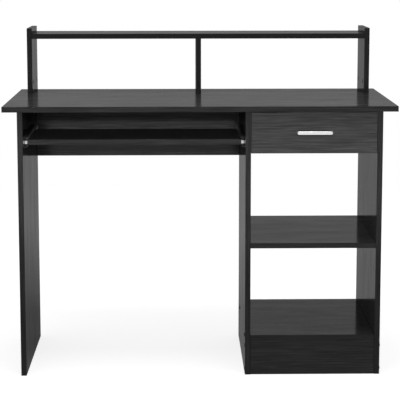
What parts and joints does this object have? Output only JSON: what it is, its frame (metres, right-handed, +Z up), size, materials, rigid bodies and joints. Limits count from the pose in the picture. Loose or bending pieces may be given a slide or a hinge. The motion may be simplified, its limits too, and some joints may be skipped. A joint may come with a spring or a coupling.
{
  "type": "computer desk with keyboard tray",
  "caption": "Black laminate desk with a pull-out keyboard tray, a drawer over open shelves and a low hutch; tray and drawer run on ball slides.",
  "frame": {"origin": "on the floor, at the middle of the desk's whole width and depth", "axes": "+X to the sitter's right along the desktop, -Y out of the front towards the sitter, +Z up"},
  "size_m": [1.08, 0.515, 0.949],
  "materials": {
    "black_laminate": "semi-gloss black wood-grain laminate on particle board",
    "black_hardboard": "matt black hardboard",
    "zinc_steel": "bright zinc-plated sheet steel",
    "satin_nickel": "satin nickel plate",
    "dark_zinc": "dark-plated die-cast zinc",
    "beech": "plain beech",
    "black_plastic": "satin black moulded plastic"
  },
  "bodies": {
    "desk_frame": {"desktop": "black_laminate", "left_side_panel": "black_laminate", "middle_panel": "black_laminate", "right_side_panel": "black_laminate", "modesty_panel": "black_laminate", "drawer_bay_rail": "black_laminate", "middle_shelf": "black_laminate", "lower_shelf": "black_laminate", "plinth": "black_laminate", "hutch_left_upright": "black_laminate", "hutch_right_upright": "black_laminate", "hutch_divider": "black_laminate", "hutch_shelf": "black_laminate", "tray_slide_left_outer": "zinc_steel", "tray_slide_right_outer": "zinc_steel", "drawer_slide_left_outer": "zinc_steel", "drawer_slide_right_outer": "zinc_steel", "frame_cam_bolts": "zinc_steel", "frame_cam_locks": "dark_zinc", "frame_dowels": "beech", "shelf_screws": "zinc_steel", "shelf_screw_caps": "black_plastic", "shelf_pins": "zinc_steel", "hutch_cam_bolts": "zinc_steel", "hutch_cam_locks": "dark_zinc", "hutch_dowels": "beech", "tray_slide_panel_screws": "zinc_steel", "drawer_slide_panel_screws": "zinc_steel"},
    "tray": {"keyboard_tray": "black_laminate", "tray_slide_left_inner": "zinc_steel", "tray_slide_right_inner": "zinc_steel", "tray_slide_tray_screws": "zinc_steel"},
    "tray_left_cage": {"tray_slide_left_cage": "zinc_steel", "tray_slide_left_balls": "zinc_steel"},
    "tray_right_cage": {"tray_slide_right_cage": "zinc_steel", "tray_slide_right_balls": "zinc_steel"},
    "drawer": {"drawer_front": "black_laminate", "drawer_left_side": "black_laminate", "drawer_right_side": "black_laminate", "drawer_back": "black_laminate", "drawer_bottom": "black_hardboard", "drawer_handle": "satin_nickel", "drawer_slide_left_inner": "zinc_steel", "drawer_slide_right_inner": "zinc_steel", "drawer_slide_box_screws": "zinc_steel", "drawer_cam_bolts": "zinc_steel", "drawer_cam_locks": "dark_zinc", "drawer_back_screws": "zinc_steel", "handle_screws": "zinc_steel"},
    "drawer_left_cage": {"drawer_slide_left_cage": "zinc_steel", "drawer_slide_left_balls": "zinc_steel"},
    "drawer_right_cage": {"drawer_slide_right_cage": "zinc_steel", "drawer_slide_right_balls": "zinc_steel"}
  },
  "joints": [
    {"name": "tray_slide", "type": "slide", "parent": "desk_frame", "child": "tray", "axis": [0, -1, 0], "range_m": [0, 0.22]},
    {"name": "drawer_slide", "type": "slide", "parent": "desk_frame", "child": "drawer", "axis": [0, -1, 0], "range_m": [0, 0.22]},
    {"name": "tray_left_cage_roll", "type": "slide", "parent": "desk_frame", "child": "tray_left_cage", "axis": [0, -1, 0], "range_m": [0, 0.11]},
    {"name": "tray_right_cage_roll", "type": "slide", "parent": "desk_frame", "child": "tray_right_cage", "axis": [0, -1, 0], "range_m": [0, 0.11]},
    {"name": "drawer_left_cage_roll", "type": "slide", "parent": "desk_frame", "child": "drawer_left_cage", "axis": [0, -1, 0], "range_m": [0, 0.11]},
    {"name": "drawer_right_cage_roll", "type": "slide", "parent": "desk_frame", "child": "drawer_right_cage", "axis": [0, -1, 0], "range_m": [0, 0.11]}
  ],
  "couplings": [
    {"joint": "tray_left_cage_roll", "follows": "tray_slide", "ratio": 0.5},
    {"joint": "tray_right_cage_roll", "follows": "tray_slide", "ratio": 0.5},
    {"joint": "drawer_left_cage_roll", "follows": "drawer_slide", "ratio": 0.5},
    {"joint": "drawer_right_cage_roll", "follows": "drawer_slide", "ratio": 0.5}
  ]
}
